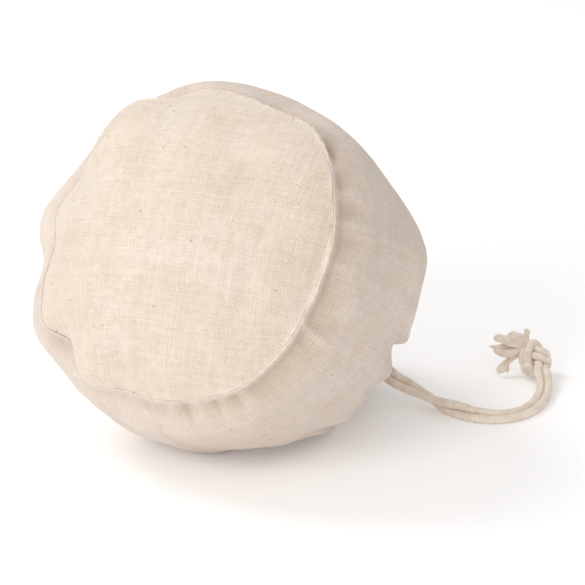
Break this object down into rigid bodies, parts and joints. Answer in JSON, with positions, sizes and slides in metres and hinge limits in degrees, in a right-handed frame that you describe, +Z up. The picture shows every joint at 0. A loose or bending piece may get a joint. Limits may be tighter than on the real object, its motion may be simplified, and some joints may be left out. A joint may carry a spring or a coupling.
{
  "type": "herbal compress ball",
  "caption": "Round-based muslin drawstring pouch packed with herbs into a ball, lying on its side with its gathered mouth drawn shut and its knotted double cord laid out.",
  "frame": {"origin": "on the table under the middle of the bag, without its free cord", "axes": "+Z up from the table; +X to the right, the side on which the cord lies; -Y towards the viewer, the side to which the base panel turns; the bag's own axis points along (0.481, 0.643, -0.596) from base panel to mouth"},
  "size_m": [0.1316, 0.0938, 0.0906],
  "materials": {
    "muslin_base": "unbleached plain-weave muslin, matte",
    "muslin_side": "unbleached plain-weave muslin, matte",
    "thread": "cotton sewing thread",
    "cord": "soft braided cotton cord",
    "herbs": "chopped dried herbs, packed",
    "plai": "dried root slice",
    "turmeric": "dried root slice",
    "lime_peel": "dried pitted rind",
    "lemongrass": "dried fibrous stem",
    "camphor": "waxy white crystal"
  },
  "bodies": {
    "bag": {"base_panel": "muslin_base", "side_panel": "muslin_side", "base_seam_needle_thread": "thread", "base_seam_bobbin_thread": "thread", "base_seam_overlock_thread": "thread", "side_seam_thread": "thread", "side_seam_overlock_thread": "thread", "casing_needle_thread": "thread", "casing_bobbin_thread": "thread", "buttonhole_thread": "thread", "drawstring_loop": "cord", "herb_packing": "herbs", "herb_packing_lid": "herbs", "plai_slice_1": "plai", "plai_slice_2": "plai", "plai_slice_3": "plai", "turmeric_slice_1": "turmeric", "turmeric_slice_2": "turmeric", "kaffir_lime_peel_1": "lime_peel", "kaffir_lime_peel_2": "lime_peel", "lemongrass_stem_1": "lemongrass", "lemongrass_stem_2": "lemongrass", "lemongrass_stem_3": "lemongrass", "camphor_lump_1": "camphor", "camphor_lump_2": "camphor"},
    "drawstring": {"drawstring_strand_a": "cord", "drawstring_strand_b": "cord", "drawstring_knot": "cord", "frayed_ply_1": "cord", "frayed_ply_2": "cord", "frayed_ply_3": "cord", "frayed_ply_4": "cord", "frayed_ply_5": "cord", "frayed_ply_6": "cord", "frayed_ply_7": "cord"}
  },
  "joints": [
    {"name": "drawstring_pull", "type": "slide", "parent": "bag", "child": "drawstring", "axis": [0.8007, -0.599, 0], "range_m": [0, 0.005]}
  ]
}
